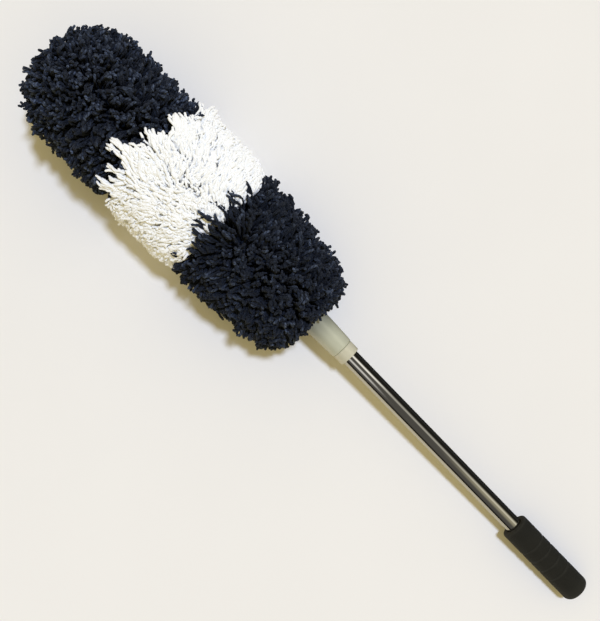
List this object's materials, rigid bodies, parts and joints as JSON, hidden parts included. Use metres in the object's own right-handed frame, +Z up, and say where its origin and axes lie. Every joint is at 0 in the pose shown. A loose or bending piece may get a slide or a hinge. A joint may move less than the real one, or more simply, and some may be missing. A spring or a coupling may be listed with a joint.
{
  "type": "car duster",
  "caption": "Lying car duster: a foam-gripped steel pole that telescopes and twists to lock, with a long round-tipped head of dark and white yarn pile.",
  "frame": {"origin": "on the table that the duster lies on, under the middle of its bounding box", "axes": "+X from the grip to the head, along the table; +Z up from the table; the tool's axis lies in the XZ plane and rises by 4.0 degrees towards the head"},
  "size_m": [0.837, 0.1444, 0.1385],
  "materials": {
    "black_foam": "matte closed-cell foam",
    "polished_steel": "polished",
    "pin_steel": "drawn wire",
    "pale_plastic": "milky, slightly translucent",
    "lock_plastic": "moulded",
    "dark_plastic": "moulded",
    "padding": "soft foam",
    "dark_cloth": "woven",
    "dark_yarn": "soft acrylic yarn",
    "white_yarn": "soft cotton yarn"
  },
  "bodies": {
    "handle": {"foam_grip": "black_foam", "tube_end_plug": "dark_plastic", "outer_tube": "polished_steel", "guide_collar": "pale_plastic"},
    "lock": {"lock_cam": "lock_plastic"},
    "pole": {"inner_tube": "polished_steel", "lock_plug": "lock_plastic", "head_socket": "pale_plastic", "socket_pin": "pin_steel", "core_tube": "dark_plastic", "core_pin": "pin_steel", "core_end_cap": "dark_plastic", "foam_core": "padding", "base_sleeve": "dark_cloth", "neck_band": "lock_plastic", "pile_rear": "dark_yarn", "pile_middle": "white_yarn", "pile_front": "dark_yarn"}
  },
  "joints": [
    {"name": "pole_extend", "type": "slide", "parent": "handle", "child": "lock", "axis": [0.9975, 0, 0.0704], "range_m": [0, 0.3]},
    {"name": "pole_twist", "type": "hinge", "parent": "lock", "child": "pole", "pos_m": [-0.34744, 0.00006, 0.0204], "axis": [0.9975, 0, 0.0704], "range_deg": [0, 150]}
  ]
}
